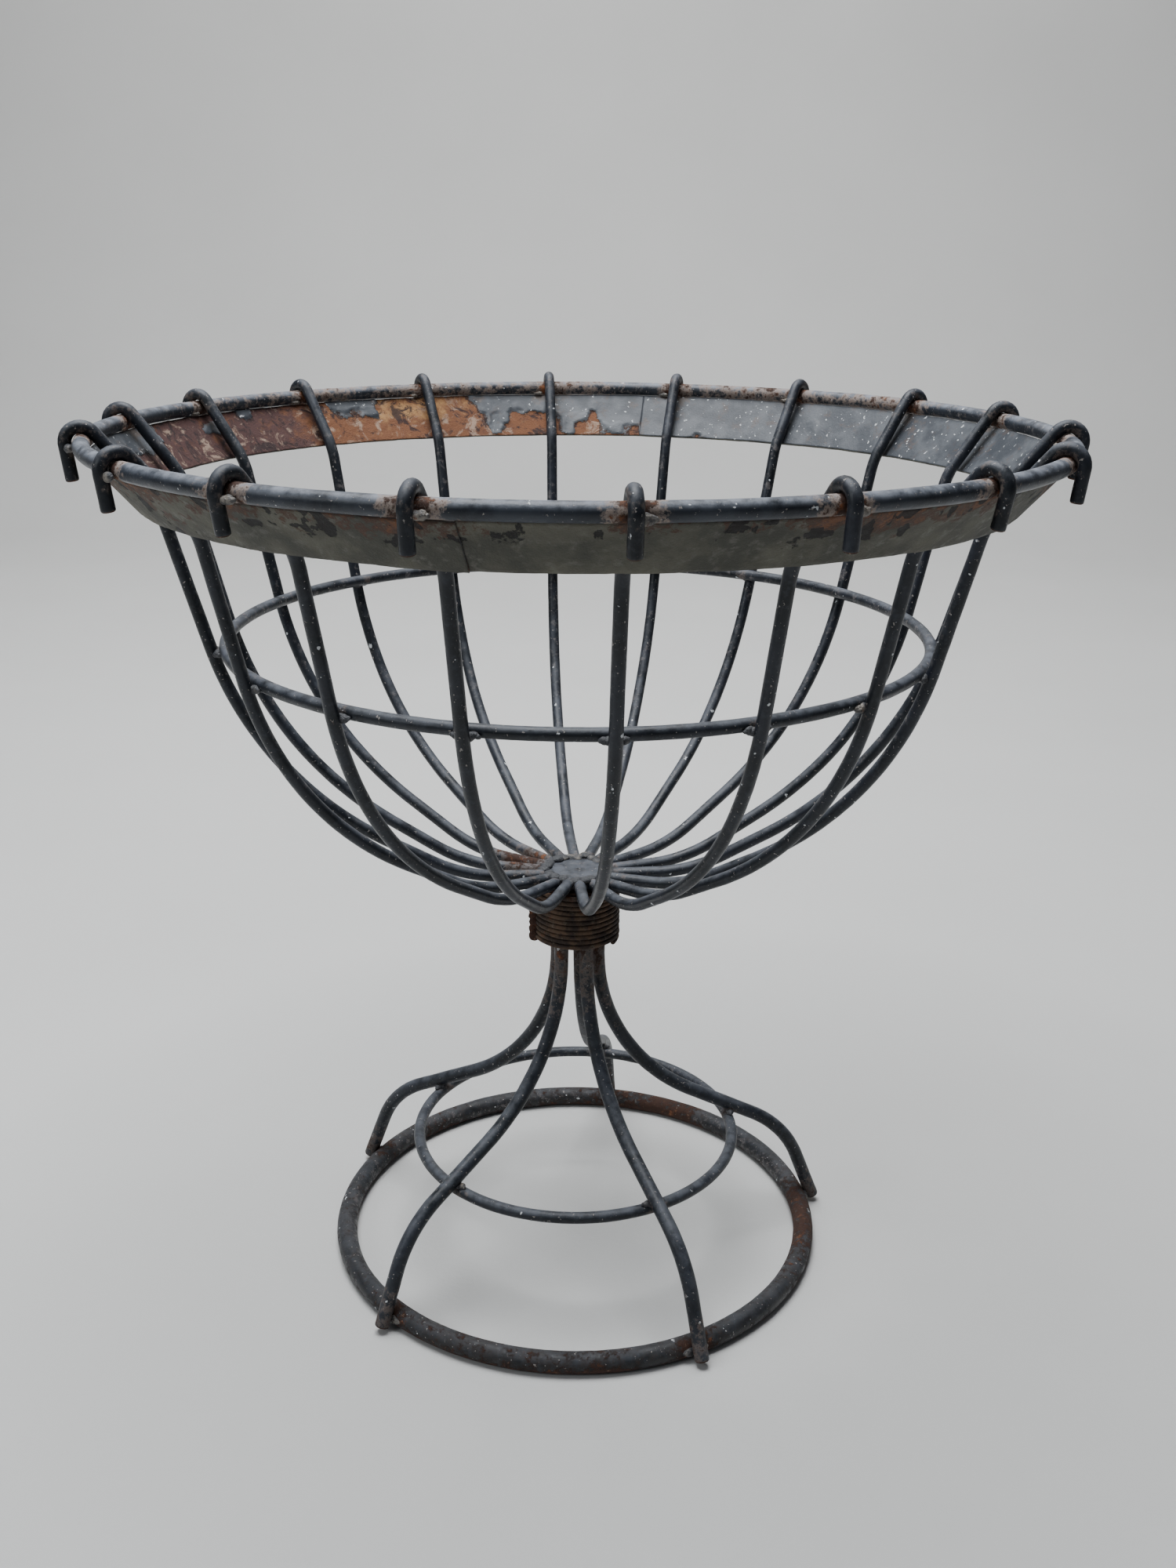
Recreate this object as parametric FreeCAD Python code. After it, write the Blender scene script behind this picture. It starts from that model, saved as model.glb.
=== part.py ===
"""Wrought wire fruit basket on a pedestal foot.

A bowl of eighteen bent round rods hangs from a rim ring over a sheet band, is
tied by one hoop inside, and gathers at a hub. A bundle of five rods, bound with
wire at the neck, spreads from the hub down to a hoop and a heavy base ring.

Millimetres. +Z is up, the origin is on the floor at the centre of the base ring.
"""
import FreeCAD, Part
import math
import os

Vector = FreeCAD.Vector
Z_AXIS = Vector(0, 0, 1)

# Bar stock
RIB_ROD = 6.5
HOOP_ROD = 6.5
RIM_ROD = 8.5
LEG_ROD = 8.0
BASE_ROD = 12.0
BINDING_WIRE = 2.8
BAND_SHEET = 1.5
TOUCH_GAP = 0.15          # clearance left where two rods lie against each other

# Rim ring and the sheet band under it
RIM_RADIUS = 245.0        # to the centre of the bar
RIM_HEIGHT = 471.3
BAND_LOW_RADIUS = 222.6   # outside of the band at its lower edge
BAND_LOW_HEIGHT = 443.5
BAND_TOP_DROP = 4.7       # upper edge below the centre of the rim bar
BAND_TOP_INSET = 2.0      # upper edge inside the centre of the rim bar
BAND_SEAMS = (-11.0, 170.0)
BAND_SEAM_GAP = 0.6

# Hoop inside the bowl, welded a little off the axis
MID_HOOP_RADIUS = 184.7
MID_HOOP_HEIGHT = 366.5
MID_HOOP_SHIFT = 1.6      # towards +Y

# Ribs: azimuth 0 faces -Y and grows towards +X. They leave the hub evenly spaced
RIB_FIRST_AZIMUTH = 4.6
# and were then set by hand, so the spacing wanders: (at the rim, low in the bowl) in turn
RIB_AZIMUTHS = (
    (4.7, 4.8), (24.3, 25.1), (43.3, 45.5), (62.8, 65.8), (84.5, 86.0), (107.0, 103.0),
    (125.5, 124.6), (145.5, 146.0), (165.1, 165.3), (184.8, 185.4), (204.5, 205.4), (224.4, 226.0),
    (243.8, 246.0), (262.6, 264.5), (283.0, 282.5), (306.7, 303.4), (326.0, 324.4), (345.3, 344.5),
)
RIB_END_RADIUS = 19.2
RIB_END_HEIGHT = 228.4
BOWL_FLOOR_RADIUS = 63.2  # corner where the floor of the bowl turns up
BOWL_FLOOR_HEIGHT = 231.0
BOWL_FLOOR_BEND = 85.0
BOWL_SIDE_RADIUS = 171.2  # corner where the side of the bowl turns up
BOWL_SIDE_HEIGHT = 293.4
BOWL_SIDE_BEND = 190.0
RIB_SIDE_LEAN = 15.5      # degrees from upright where a rib passes the mid hoop
KNUCKLE_HEIGHT = 443.0    # bend just under the band, where a rib leans out to the rim
KNUCKLE_BEND = 40.0
HOOK_TAIL_LENGTH = 16.5
HOOK_TAIL_LEAN = 9.0      # degrees the tail leans back towards the bowl

# Hub and neck
HUB_DISC_RADIUS = 18.8
HUB_DISC_TOP = 230.4
HUB_DISC_BOTTOM = 224.2
HUB_DISC_CHAMFER = 0.8
SLEEVE_INNER_RADIUS = 16.6
SLEEVE_BOTTOM = 190.0
BINDING_OUTER_RADIUS = 24.3
BINDING_BOTTOM = 188.7
BINDING_TURNS = 11.2
BINDING_PITCH = 2.9
NECK_WELD_AZIMUTH = -78.0
NECK_WELD_WIDTH = 7.0
NECK_WELD_DEPTH = 1.2     # how far it stands proud of the binding wire

# Legs
LEG_COUNT = 5
LEG_FIRST_AZIMUTH = 27.0
LEG_NECK_RADIUS = 12.3
LEG_TOP_HEIGHT = 223.9
LEG_FLARE_HEIGHT = 113.4  # corner where a leg turns outwards
LEG_FLARE_BEND = 105.0
LEG_SHOULDER_RADIUS = 128.6
LEG_SHOULDER_HEIGHT = 54.8
LEG_SHOULDER_BEND = 59.0
LEG_FOOT_HEIGHT = 2.6

# Foot rings
LOWER_HOOP_RADIUS = 92.7
BASE_RING_RADIUS = 137.1
BASE_WORN_FLAT = 0.3      # depth worn off the underside of the base ring

# Weld beads: radius of each, and where its centre sits by the joint
RIM_BEAD = 3.4
RIM_BEAD_OUT = 1.0        # outside the surface of the rim bar
RIM_BEAD_DROP = 2.0       # below the centre of the rim bar
RIM_BEAD_ASIDE = 1.2      # beside the surface of the rib
TACK_BEAD = 3.4
TACK_BEAD_INSET = 6.0     # inside the centre of the rim bar
TACK_BEAD_DROP = 3.6
TACK_BEAD_ASIDE = 7.2     # from the middle of a rib to the tack that holds the band beside it
HOOP_BEAD = 2.72
HOOP_BEAD_DROP = 2.0
HOOP_BEAD_ASIDE = 2.9
HUB_BEAD = 1.6
HUB_BEAD_RADIUS = 17.0    # of the run round the top of the hub disc
HUB_BEAD_RISE = 0.6
LEG_BEAD = 3.4
LEG_BEAD_OUT = 0.8        # outside the centre of the lower hoop
LEG_BEAD_RISE = 3.4
LEG_BEAD_ASIDE = 3.0
FOOT_BEAD = 3.9
FOOT_BEAD_RISE = 1.0
BEAD_AXIS = Vector(0.31, 0.52, 0.79)   # poles of every bead, turned away from the rods
BEAD_SHRINK_STEP = 0.03
BEAD_SHRINK_STEPS = 12
BEAD_VOLUME_ERROR = 0.01

os.makedirs("parts", exist_ok=True)


def polar(azimuth, radius, height):
    """Point at a plan radius and height; azimuth 0 is -Y and 90 is +X."""
    angle = math.radians(azimuth)
    return Vector(radius * math.sin(angle), -radius * math.cos(angle), height)


def save(name, shape):
    shape.exportStep("parts/" + name + ".step")


def largest_solid(shape):
    return max(shape.Solids, key=lambda solid: solid.Volume)


def ring(radius, height, rod, shift_y=0.0):
    return Part.makeTorus(radius, rod / 2.0, Vector(0, shift_y, height), Z_AXIS)


def sweep_rod(edges, rod):
    """Solid round rod along tangent-continuous edges."""
    path = Part.Wire(edges)
    start = edges[0].valueAt(edges[0].FirstParameter)
    heading = edges[0].tangentAt(edges[0].FirstParameter)
    section = Part.Wire([Part.makeCircle(rod / 2.0, start, heading)])
    return path.makePipeShell([section], True, True)


def rounded_path(corners, bends):
    """Edges through the corners, each inner corner rounded to its bend radius."""
    edges = []
    start = corners[0]
    for index, bend in enumerate(bends, 1):
        corner = corners[index]
        back = (corners[index - 1] - corner).normalize()
        ahead = (corners[index + 1] - corner).normalize()
        half_angle = back.getAngle(ahead) / 2.0
        reach = bend / math.tan(half_angle)
        centre = corner + (back + ahead).normalize() * (bend / math.sin(half_angle))
        enter = corner + back * reach
        leave = corner + ahead * reach
        middle = centre + (corner - centre).normalize() * bend
        edges.append(Part.makeLine(start, enter))
        edges.append(Part.Arc(enter, middle, leave).toShape())
        start = leave
    edges.append(Part.makeLine(start, corners[-1]))
    return edges


# ---------------------------------------------------------------- rim and band

def make_rim_ring():
    return ring(RIM_RADIUS, RIM_HEIGHT, RIM_ROD)


def band_half(start_azimuth, end_azimuth):
    """One piece of the conical strip, between its two seams."""
    top_radius = RIM_RADIUS - BAND_TOP_INSET
    top_height = RIM_HEIGHT - BAND_TOP_DROP
    slope = math.atan2(top_height - BAND_LOW_HEIGHT, top_radius - BAND_LOW_RADIUS)
    inward = Vector(-math.sin(slope), 0, math.cos(slope)) * BAND_SHEET
    low = Vector(BAND_LOW_RADIUS, 0, BAND_LOW_HEIGHT)
    top = Vector(top_radius, 0, top_height)
    outline = Part.makePolygon([low, top, top + inward, low + inward, low])
    seam_angle = math.degrees(BAND_SEAM_GAP / BAND_LOW_RADIUS)
    strip = Part.Face(outline)
    strip.rotate(Vector(0, 0, 0), Z_AXIS, start_azimuth - 90.0 + seam_angle / 2.0)
    return strip.revolve(Vector(0, 0, 0), Z_AXIS, end_azimuth - start_azimuth - seam_angle)


# ----------------------------------------------------------------------- ribs

def hoop_share():
    """How far up the straight side of a rib, from belly to knuckle, the mid hoop lies."""
    return (MID_HOOP_HEIGHT - BOWL_SIDE_HEIGHT) / (KNUCKLE_HEIGHT - BOWL_SIDE_HEIGHT)


def hoop_azimuth(at_rim, in_bowl):
    """Azimuth where a rib passes the mid hoop."""
    return in_bowl + (at_rim - in_bowl) * hoop_share()


def hoop_reach(azimuth):
    """Distance from the main axis to a rod lying against the outside of the mid hoop."""
    angle = math.radians(azimuth)
    apart = (HOOP_ROD + RIB_ROD) / 2.0 + TOUCH_GAP
    outside = MID_HOOP_RADIUS + apart / math.cos(math.radians(RIB_SIDE_LEAN))
    across = MID_HOOP_SHIFT * math.sin(angle)
    return math.sqrt(outside ** 2 - across ** 2) - MID_HOOP_SHIFT * math.cos(angle)


def knuckle_radius(azimuth):
    """The side of a rib runs straight from its belly past the hoop to the knuckle."""
    return BOWL_SIDE_RADIUS + (hoop_reach(azimuth) - BOWL_SIDE_RADIUS) / hoop_share()


def hub_azimuth(index):
    return RIB_FIRST_AZIMUTH + index * 360.0 / len(RIB_AZIMUTHS)


def make_rib(at_hub, in_bowl, at_rim):
    """Rod from the hub, up the bowl, out to the rim and hooked over the rim bar."""
    wrap = (RIM_ROD + RIB_ROD) / 2.0 + TOUCH_GAP
    knuckle = knuckle_radius(hoop_azimuth(at_rim, in_bowl))
    run = RIM_RADIUS - knuckle
    rise = RIM_HEIGHT - KNUCKLE_HEIGHT
    lean = math.atan2(rise, run) + math.asin(wrap / math.hypot(run, rise))

    def on_hook(angle):
        return polar(at_rim, RIM_RADIUS + wrap * math.cos(angle), RIM_HEIGHT + wrap * math.sin(angle))

    hook_start = lean + math.pi / 2.0
    hook_end = -math.radians(HOOK_TAIL_LEAN)
    corners = [
        polar(at_hub, RIB_END_RADIUS, RIB_END_HEIGHT),
        polar(in_bowl, BOWL_FLOOR_RADIUS, BOWL_FLOOR_HEIGHT),
        polar(in_bowl, BOWL_SIDE_RADIUS, BOWL_SIDE_HEIGHT),
        polar(at_rim, knuckle, KNUCKLE_HEIGHT),
        on_hook(hook_start),
    ]
    edges = rounded_path(corners, [BOWL_FLOOR_BEND, BOWL_SIDE_BEND, KNUCKLE_BEND])
    hook_top = on_hook((hook_start + hook_end) / 2.0)
    edges.append(Part.Arc(on_hook(hook_start), hook_top, on_hook(hook_end)).toShape())
    tail_run = HOOK_TAIL_LENGTH * math.sin(hook_end)
    tail_end = polar(
        at_rim,
        RIM_RADIUS + wrap * math.cos(hook_end) + tail_run,
        RIM_HEIGHT + wrap * math.sin(hook_end) - HOOK_TAIL_LENGTH * math.cos(hook_end),
    )
    edges.append(Part.makeLine(on_hook(hook_end), tail_end))
    return sweep_rod(edges, RIB_ROD)


def make_mid_hoop():
    return ring(MID_HOOP_RADIUS, MID_HOOP_HEIGHT, HOOP_ROD, MID_HOOP_SHIFT)


# --------------------------------------------------------------- hub and neck

def make_hub_disc():
    height = HUB_DISC_TOP - HUB_DISC_BOTTOM
    disc = Part.makeCylinder(HUB_DISC_RADIUS, height, Vector(0, 0, HUB_DISC_BOTTOM))
    return disc.makeChamfer(HUB_DISC_CHAMFER, [disc.Edges[0]])


def sleeve_outer_radius():
    return BINDING_OUTER_RADIUS - BINDING_WIRE - TOUCH_GAP


def binding_top():
    return BINDING_BOTTOM + BINDING_TURNS * BINDING_PITCH + BINDING_WIRE


def make_neck_sleeve():
    height = HUB_DISC_BOTTOM - TOUCH_GAP - SLEEVE_BOTTOM
    base = Vector(0, 0, SLEEVE_BOTTOM)
    outside = Part.makeCylinder(sleeve_outer_radius(), height, base)
    return outside.cut(Part.makeCylinder(SLEEVE_INNER_RADIUS, height, base))


def make_binding_wire():
    """Close-wound wire round the sleeve."""
    radius = BINDING_OUTER_RADIUS - BINDING_WIRE / 2.0
    helix = Part.makeHelix(BINDING_PITCH, BINDING_TURNS * BINDING_PITCH, radius)
    helix.translate(Vector(0, 0, BINDING_BOTTOM + BINDING_WIRE / 2.0))
    first = helix.Edges[0]
    start = first.valueAt(first.FirstParameter)
    heading = first.tangentAt(first.FirstParameter)
    section = Part.Wire([Part.makeCircle(BINDING_WIRE / 2.0, start, heading)])
    return Part.Wire(helix.Edges).makePipeShell([section], True, True)


def make_neck_weld():
    """Vertical weld run that locks the turns of the binding wire."""
    height = binding_top() - BINDING_BOTTOM - BINDING_WIRE
    foot = polar(NECK_WELD_AZIMUTH, BINDING_OUTER_RADIUS, BINDING_BOTTOM + BINDING_WIRE / 2.0)
    run = Part.makeCylinder(NECK_WELD_WIDTH / 2.0, height, foot)
    below = Vector(0, 0, foot.z - height)
    inside = Part.makeCylinder(BINDING_OUTER_RADIUS + TOUCH_GAP / 2.0, height * 3.0, below)
    outside = Part.makeCylinder(BINDING_OUTER_RADIUS + NECK_WELD_DEPTH, height * 3.0, below)
    return largest_solid(run.common(outside).cut(inside))


# ----------------------------------------------------------------------- foot

def leg_azimuth(index):
    return LEG_FIRST_AZIMUTH + index * 360.0 / LEG_COUNT


def leg_foot_radius():
    """The foot of a leg lies against the outside of the base ring."""
    run = BASE_RING_RADIUS - LEG_SHOULDER_RADIUS
    drop = LEG_SHOULDER_HEIGHT - base_ring_height()
    apart = (BASE_ROD + LEG_ROD) / 2.0 + TOUCH_GAP
    lean = math.atan2(run, drop) + math.asin(apart / math.hypot(run, drop))
    return LEG_SHOULDER_RADIUS + (LEG_SHOULDER_HEIGHT - LEG_FOOT_HEIGHT) * math.tan(lean)


def make_leg(azimuth):
    corners = [
        polar(azimuth, LEG_NECK_RADIUS, LEG_TOP_HEIGHT),
        polar(azimuth, LEG_NECK_RADIUS, LEG_FLARE_HEIGHT),
        polar(azimuth, LEG_SHOULDER_RADIUS, LEG_SHOULDER_HEIGHT),
        polar(azimuth, leg_foot_radius(), LEG_FOOT_HEIGHT),
    ]
    return sweep_rod(rounded_path(corners, [LEG_FLARE_BEND, LEG_SHOULDER_BEND]), LEG_ROD)


def lower_hoop_height():
    """The hoop lies against the underside of the sloping stretch of the legs."""
    run = LEG_SHOULDER_RADIUS - LEG_NECK_RADIUS
    drop = LEG_FLARE_HEIGHT - LEG_SHOULDER_HEIGHT
    on_leg = LEG_FLARE_HEIGHT - drop * (LOWER_HOOP_RADIUS - LEG_NECK_RADIUS) / run
    offset = (LEG_ROD + HOOP_ROD) / 2.0 + TOUCH_GAP
    return on_leg - offset * math.hypot(run, drop) / run


def make_lower_hoop():
    return ring(LOWER_HOOP_RADIUS, lower_hoop_height(), HOOP_ROD)


def base_ring_height():
    return BASE_ROD / 2.0 - BASE_WORN_FLAT


def make_base_ring():
    reach = BASE_RING_RADIUS + BASE_ROD
    below = Part.makeBox(2 * reach, 2 * reach, BASE_ROD, Vector(-reach, -reach, -BASE_ROD))
    return ring(BASE_RING_RADIUS, base_ring_height(), BASE_ROD).cut(below)


# ---------------------------------------------------------------------- welds

def weld_bead(centre, size, neighbours):
    """One bead, cut back to the surfaces of the pieces that it joins.

    The bead shrinks a little at a time until the volume cut away is the volume
    that it shared with its neighbours, which shows that the cut is sound.
    """
    for step in range(BEAD_SHRINK_STEPS):
        bead = Part.makeSphere(size * (1.0 - BEAD_SHRINK_STEP * step), centre, BEAD_AXIS)
        shared = sum(bead.common(neighbour).Volume for neighbour in neighbours)
        rest = bead
        for neighbour in neighbours:
            rest = rest.cut(neighbour)
        error = abs(bead.Volume - shared - rest.Volume) / bead.Volume
        if rest.Solids and rest.isValid() and error < BEAD_VOLUME_ERROR:
            return largest_solid(rest)
    raise ValueError("no clean weld bead at %s" % centre)


def beside(azimuth, radius, height, sideways):
    """Point moved sideways along the tangent of its circle."""
    angle = math.radians(azimuth)
    return polar(azimuth, radius, height) + Vector(math.cos(angle), math.sin(angle), 0) * sideways


def make_rim_welds(ribs, rim):
    """A bead beside each hook, where its tail leaves the rim bar."""
    radius = RIM_RADIUS + RIM_ROD / 2.0 + RIM_BEAD_OUT
    height = RIM_HEIGHT - RIM_BEAD_DROP
    aside = RIB_ROD / 2.0 + RIM_BEAD_ASIDE
    beads = []
    for (at_rim, _), rib in zip(RIB_AZIMUTHS, ribs):
        spot = beside(at_rim, radius, height, aside)
        beads.append(weld_bead(spot, RIM_BEAD, [rim, rib]))
    return Part.makeCompound(beads)


def make_band_welds(rim, bands):
    """Tacks beside the ribs, in the corner between the rim bar and the inside of the band."""
    radius = RIM_RADIUS - TACK_BEAD_INSET
    height = RIM_HEIGHT - TACK_BEAD_DROP
    beads = []
    for at_rim, _ in RIB_AZIMUTHS:
        spot = beside(at_rim, radius, height, TACK_BEAD_ASIDE)
        beads.append(weld_bead(spot, TACK_BEAD, [rim] + bands))
    return Part.makeCompound(beads)


def make_mid_hoop_welds(ribs, hoop):
    """Two beads under each crossing of a rib and the mid hoop."""
    height = MID_HOOP_HEIGHT - HOOP_BEAD_DROP
    beads = []
    for (at_rim, in_bowl), rib in zip(RIB_AZIMUTHS, ribs):
        azimuth = hoop_azimuth(at_rim, in_bowl)
        radius = hoop_reach(azimuth) - (RIB_ROD + TOUCH_GAP) / 2.0
        for side in (-1, 1):
            spot = beside(azimuth, radius, height, side * HOOP_BEAD_ASIDE)
            beads.append(weld_bead(spot, HOOP_BEAD, [hoop, rib]))
    return Part.makeCompound(beads)


def make_hub_weld(disc):
    """Ring bead run round the top of the disc, inside the rib ends."""
    return ring(HUB_BEAD_RADIUS, HUB_DISC_TOP + HUB_BEAD_RISE, 2.0 * HUB_BEAD).cut(disc)


def make_lower_hoop_welds(legs, hoop):
    """A bead on each side of each leg where the lower hoop passes under it."""
    radius = LOWER_HOOP_RADIUS + LEG_BEAD_OUT
    height = lower_hoop_height() + LEG_BEAD_RISE
    beads = []
    for index, leg in enumerate(legs):
        for side in (-1, 1):
            spot = beside(leg_azimuth(index), radius, height, side * LEG_BEAD_ASIDE)
            beads.append(weld_bead(spot, LEG_BEAD, [hoop, leg]))
    return Part.makeCompound(beads)


def make_foot_welds(legs, base):
    """A bead on each side of each leg where it ends against the base ring."""
    radius = BASE_RING_RADIUS + BASE_ROD / 2.0
    height = base_ring_height() + FOOT_BEAD_RISE
    beads = []
    for index, leg in enumerate(legs):
        for side in (-1, 1):
            spot = beside(leg_azimuth(index), radius, height, side * LEG_ROD / 2.0)
            beads.append(weld_bead(spot, FOOT_BEAD, [base, leg]))
    return Part.makeCompound(beads)


# ------------------------------------------------------------------- assembly

rim_ring = make_rim_ring()
front_seam, back_seam = BAND_SEAMS
band_right = band_half(front_seam, back_seam)
band_left = band_half(back_seam, front_seam + 360.0)
all_ribs = []
for index, (at_rim, in_bowl) in enumerate(RIB_AZIMUTHS):
    all_ribs.append(make_rib(hub_azimuth(index), in_bowl, at_rim))
mid_hoop = make_mid_hoop()
hub_disc = make_hub_disc()
all_legs = [make_leg(leg_azimuth(index)) for index in range(LEG_COUNT)]
lower_hoop = make_lower_hoop()
base_ring = make_base_ring()

save("rim_ring", rim_ring)
save("rim_band_right", band_right)
save("rim_band_left", band_left)
for number, rib_shape in enumerate(all_ribs, 1):
    save("rib_%02d" % number, rib_shape)
save("mid_hoop", mid_hoop)
save("hub_disc", hub_disc)
save("neck_sleeve", make_neck_sleeve())
save("binding_wire", make_binding_wire())
save("neck_weld", make_neck_weld())
for number, leg_shape in enumerate(all_legs, 1):
    save("leg_%d" % number, leg_shape)
save("lower_hoop", lower_hoop)
save("base_ring", base_ring)
save("rim_welds", make_rim_welds(all_ribs, rim_ring))
save("band_welds", make_band_welds(rim_ring, [band_right, band_left]))
save("mid_hoop_welds", make_mid_hoop_welds(all_ribs, mid_hoop))
save("hub_weld", make_hub_weld(hub_disc))
save("lower_hoop_welds", make_lower_hoop_welds(all_legs, lower_hoop))
save("foot_welds", make_foot_welds(all_legs, base_ring))
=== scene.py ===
"""Looks of a wrought wire fruit basket on a pedestal foot.

Every rod, ring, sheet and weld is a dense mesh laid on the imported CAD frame, with
hand-made unevenness, cut ends, flaking paint and rust where the pieces are joined.

Metres, +Z up. Azimuth 0 faces -Y and grows towards +X.
"""
import itertools
import math

import bmesh
import bpy
import numpy as np
from mathutils import Matrix, Vector


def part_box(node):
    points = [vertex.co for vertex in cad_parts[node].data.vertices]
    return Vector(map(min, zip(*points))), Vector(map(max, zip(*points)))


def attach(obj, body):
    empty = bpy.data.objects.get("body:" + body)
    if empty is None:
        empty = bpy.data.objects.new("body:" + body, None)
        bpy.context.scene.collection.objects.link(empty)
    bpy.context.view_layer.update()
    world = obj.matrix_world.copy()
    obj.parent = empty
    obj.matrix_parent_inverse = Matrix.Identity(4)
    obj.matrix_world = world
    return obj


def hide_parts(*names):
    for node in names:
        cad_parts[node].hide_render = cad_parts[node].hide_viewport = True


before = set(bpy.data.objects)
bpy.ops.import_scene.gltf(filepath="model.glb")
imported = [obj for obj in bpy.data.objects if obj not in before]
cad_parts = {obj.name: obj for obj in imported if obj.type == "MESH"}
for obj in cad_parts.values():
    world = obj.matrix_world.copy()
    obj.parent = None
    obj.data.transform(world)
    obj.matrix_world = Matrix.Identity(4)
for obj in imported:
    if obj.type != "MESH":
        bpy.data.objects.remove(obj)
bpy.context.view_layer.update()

RIB_COUNT = 18
LEG_COUNT = 5

# Path of a rib in its own upright plane, as (distance from the axis, height)
RIB_END = (0.0192, 0.2284)
BOWL_FLOOR = (0.0632, 0.2310)
BOWL_SIDE = (0.1712, 0.2934)
KNUCKLE_HEIGHT = 0.443
RIB_BENDS = (0.085, 0.190, 0.040)
RIB_SIDE_LEAN = 15.5
RIB_ROD = 0.00325
TOUCH_GAP = 0.00015
HOOK_TAIL = 0.0165
HOOK_TAIL_LEAN = 9.0

# Path of a leg
LEG_NECK_RADIUS = 0.0123
LEG_FLARE_HEIGHT = 0.1134
LEG_SHOULDER = (0.1286, 0.0548)
LEG_BENDS = (0.105, 0.059)
LEG_ROD = 0.004

# Sheet band: outside face, lower and upper edge
BAND_LOW_RADIUS = 0.2226
BAND_TOP_DROP = 0.0047
BAND_TOP_INSET = 0.0020
BAND_SHEET = 0.0015
BAND_SEAMS = (-11.0, 170.0)
BAND_SEAM_GAP = 0.0001

BAND_INNER_ROWS = 34
BAND_OUTER_ROWS = 16
FLAKE_SIZE = 0.0085

# Height share of the ragged lower edge of the paint left inside the band, by azimuth
PAINT_EDGE = (
    (-11, 0.35), (15, 0.10), (40, -0.5), (169.9, -0.5), (170.1, 0.22), (172, 0.10), (176, 0.12),
    (177, 0.34), (178, 0.58), (179, 0.34), (183, 0.25), (185, 0.50), (190, 0.62), (197, 0.72), (199, 1.4),
    (211, 1.4), (213, 0.66), (220, 0.62), (222, 1.3), (233, 1.3), (235, 0.72), (237, 0.76), (239, 1.3),
    (254, 1.3), (258, 0.40), (275, 0.55), (300, 0.85), (330, 0.60), (349, 0.35),
)
# Patches inside the band: azimuth, height share, half width in degrees, half height, paint (+) or rust (-)
BAND_PATCHES = (
    (141.0, 0.55, 2.6, 0.30, -1.5), (160.5, 0.06, 1.8, 0.16, -1.2), (193.8, 0.24, 1.9, 0.26, 1.6),
    (243.5, 0.62, 3.6, 0.20, 1.6), (182.0, 0.12, 1.2, 0.20, 0.5), (100.0, 0.20, 3.0, 0.20, -1.0),
    (62.0, 0.50, 3.5, 0.30, -1.2), (25.0, 0.30, 5.0, 0.30, -1.0),
)

# Neck: binding wire and the weld run down its left side
WIRE = 0.0014
WIRE_TURNS = 11.2
WIRE_START_AZIMUTH = 62.0
NECK_WELD_LUMPS = 8
NECK_WELD_LUMP = (0.0019, 0.0034, 0.0036)

# Hub plate and the weld that ties the rib ends to it
HUB_EDGE = 0.0022
HUB_WELD_LUMPS = 26
HUB_WELD_REACH = 0.0178
HUB_WELD_LUMP = (0.0034, 0.0034, 0.0019)

# Lumps of one weld: how far along the bar each lies, in half sizes, and its share of the full size
BEAD_STEPS = ((-0.35, 1.0), (0.35, 0.82), (0.95, 0.50))

# Camera, angles in degrees
CAMERA_PLACE = (0.0, -0.8298, 0.5679)
CAMERA_TURN = -0.392
CAMERA_DOWN = 19.083
CAMERA_ROLL = 0.466
LENS = 36.549
SENSOR = 36.0


# ------------------------------------------------------------------- points

def polar(azimuth, radius, height):
    """Points at a plan radius and height."""
    angle = np.radians(azimuth)
    across, away = radius * np.sin(angle), -radius * np.cos(angle)
    return np.stack(np.broadcast_arrays(across, away, height), axis=-1)


def azimuths_of(points):
    return np.degrees(np.arctan2(points[..., 0], -points[..., 1])) % 360.0


def unit(vectors):
    return vectors / np.linalg.norm(vectors, axis=-1, keepdims=True)


def smooth(values, low, high):
    """0 below low, 1 above high, with a soft step between."""
    share = np.clip((values - low) / (high - low), 0.0, 1.0)
    return share * share * (3.0 - 2.0 * share)


def lattice_noise(points, seed):
    """Smooth noise from -1 to 1 with lumps of size 1, the same on every run."""
    cell = np.floor(points).astype(np.int64)
    part = points - cell
    fade = part * part * (3.0 - 2.0 * part)
    total = np.zeros(points.shape[:-1])
    for corner in itertools.product((0, 1), repeat=3):
        key = (cell + corner) @ np.array([73856093, 19349663, 83492791]) + seed * 2654435761
        key = (key ^ (key >> 13)) * 1274126177 & 0x7FFFFFFF
        value = ((key ^ (key >> 15)) & 0xFFFF) / 32767.5 - 1.0
        weight = np.prod(np.where(np.array(corner) == 1, fade, 1.0 - fade), axis=-1)
        total += value * weight
    return total


def rough(points, size, seed, octaves=3):
    """Layered noise, about -1 to 1, whose largest lumps are size metres across."""
    total = 0.0
    for octave in range(octaves):
        total = total + lattice_noise(points * (2.03 ** octave / size), seed + 17 * octave) * 0.5 ** octave
    return total / (2.0 - 0.5 ** (octaves - 1))


# ------------------------------------------------------- places from the frame

def ring_of(node):
    """Centre, radius to the middle of the bar, and half the bar, of a level ring."""
    low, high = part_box(node)
    bar = (high.z - low.z) / 2.0
    return (low + high) / 2.0, (high.x - low.x) / 2.0 - bar, bar


def azimuth_of(node, nearest=0.0, farthest=1.0):
    """Direction in which a rod runs out from the axis, judged between two distances from it."""
    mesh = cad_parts[node].data
    points = np.empty(len(mesh.vertices) * 3)
    mesh.vertices.foreach_get("co", points)
    points = points.reshape(-1, 3)
    distance = np.hypot(points[:, 0], points[:, 1])
    chosen = points[(distance > nearest) & (distance < farthest)]
    return float(azimuths_of(chosen.mean(axis=0)))


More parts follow.
